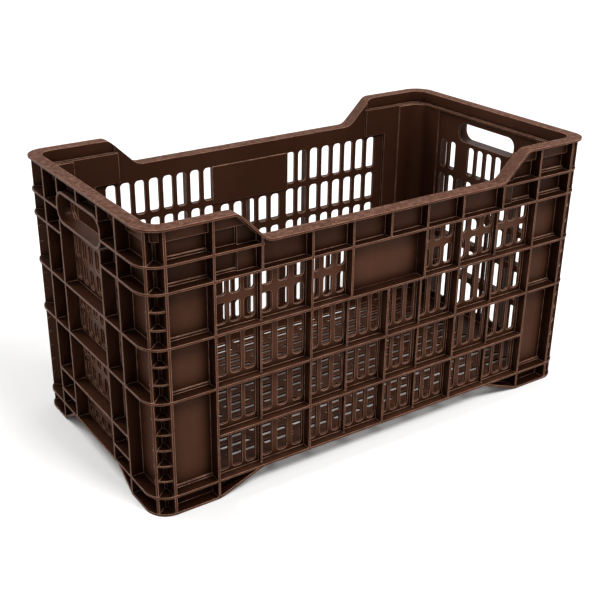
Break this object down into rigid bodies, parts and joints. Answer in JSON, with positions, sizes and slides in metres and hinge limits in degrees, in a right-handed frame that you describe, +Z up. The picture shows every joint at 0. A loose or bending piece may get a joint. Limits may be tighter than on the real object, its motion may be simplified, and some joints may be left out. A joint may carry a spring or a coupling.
{
  "type": "plastic produce crate",
  "caption": "Open-top one-piece moulded crate with slotted ribbed walls, a stepped flat rim, oval hand-holes in both ends and corner feet.",
  "frame": {"origin": "centre of the footprint, on the ground under the feet", "axes": "+X along the length (the two hand-hole ends are at -X and +X), +Y to the back long wall, +Z up out of the open top"},
  "size_m": [0.56, 0.295, 0.3046],
  "materials": {
    "crate": "satin dark brown polyethylene"
  },
  "bodies": {
    "root": {"crate": "crate"}
  },
  "joints": []
}
